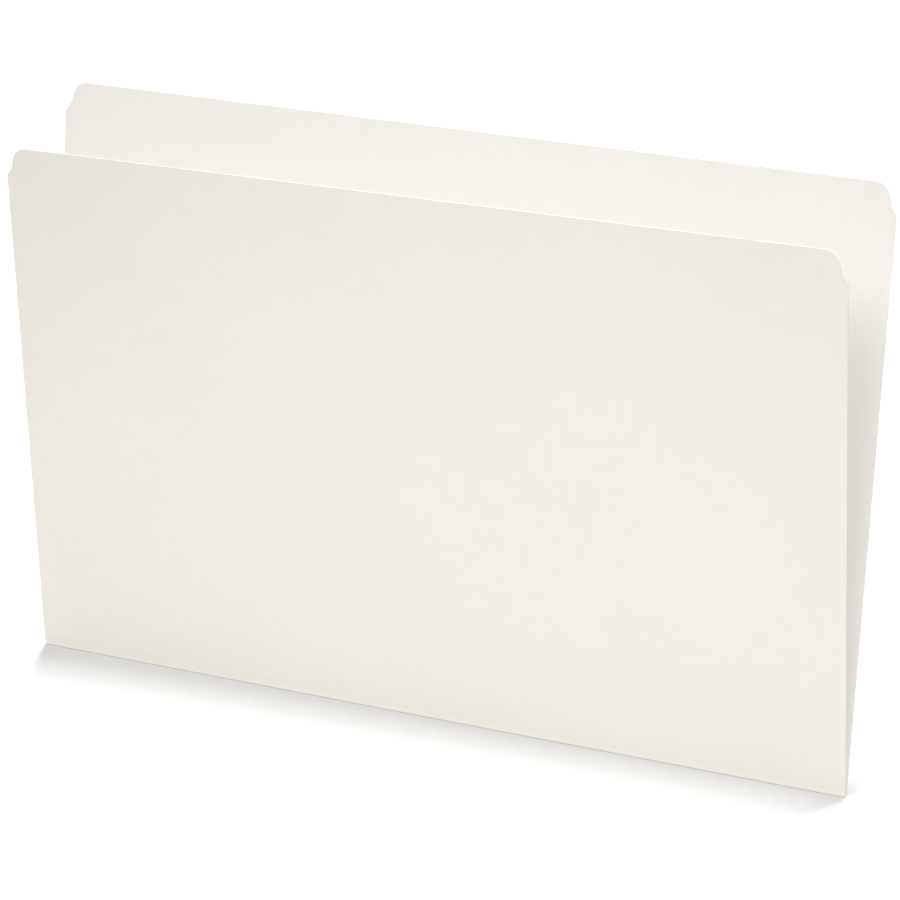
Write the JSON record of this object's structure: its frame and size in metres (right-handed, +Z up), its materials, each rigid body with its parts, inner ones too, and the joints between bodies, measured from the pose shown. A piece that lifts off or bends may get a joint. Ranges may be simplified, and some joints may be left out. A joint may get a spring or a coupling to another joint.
{
  "type": "manila folder",
  "caption": "Legal-size straight-cut manila file folder: two card leaves with full-width tabs, joined at a scored bottom fold that opens flat and widens.",
  "frame": {"origin": "under the middle of the bottom fold, on the surface that the folder stands on, midway between the two leaves' top edges", "axes": "+X along the fold, to the right of someone facing the front leaf; +Y towards the back leaf; +Z up"},
  "size_m": [0.3746, 0.0444, 0.2403],
  "materials": {
    "card": "smooth uncoated card",
    "card_crease": "card pressed along a crease"
  },
  "bodies": {
    "bottom_fold": {"bottom_fold": "card_crease"},
    "back_leaf": {"back_leaf": "card"},
    "expansion_bottom": {"expansion_strip_1": "card", "score_crease_1": "card_crease", "expansion_strip_2": "card", "score_crease_2": "card_crease", "expansion_strip_3": "card", "score_crease_3": "card_crease"},
    "front_leaf": {"front_leaf": "card"}
  },
  "joints": [
    {"name": "folder_opening", "type": "hinge", "parent": "bottom_fold", "child": "back_leaf", "pos_m": [0, 0, 0.00048], "axis": [-1, 0, 0], "range_deg": [-10.8, 169.2]},
    {"name": "bottom_expansion", "type": "hinge", "parent": "bottom_fold", "child": "expansion_bottom", "pos_m": [0, 0, 0.00048], "axis": [1, 0, 0], "range_deg": [0, 84.3], "stiffness_Nm_per_rad": 0.05},
    {"name": "score_bend", "type": "hinge", "parent": "expansion_bottom", "child": "front_leaf", "pos_m": [0, -0.00215, 0.01941], "axis": [1, 0, 0], "range_deg": [-84.3, 0]}
  ],
  "couplings": [
    {"joint": "score_bend", "follows": "bottom_expansion", "ratio": -1}
  ]
}
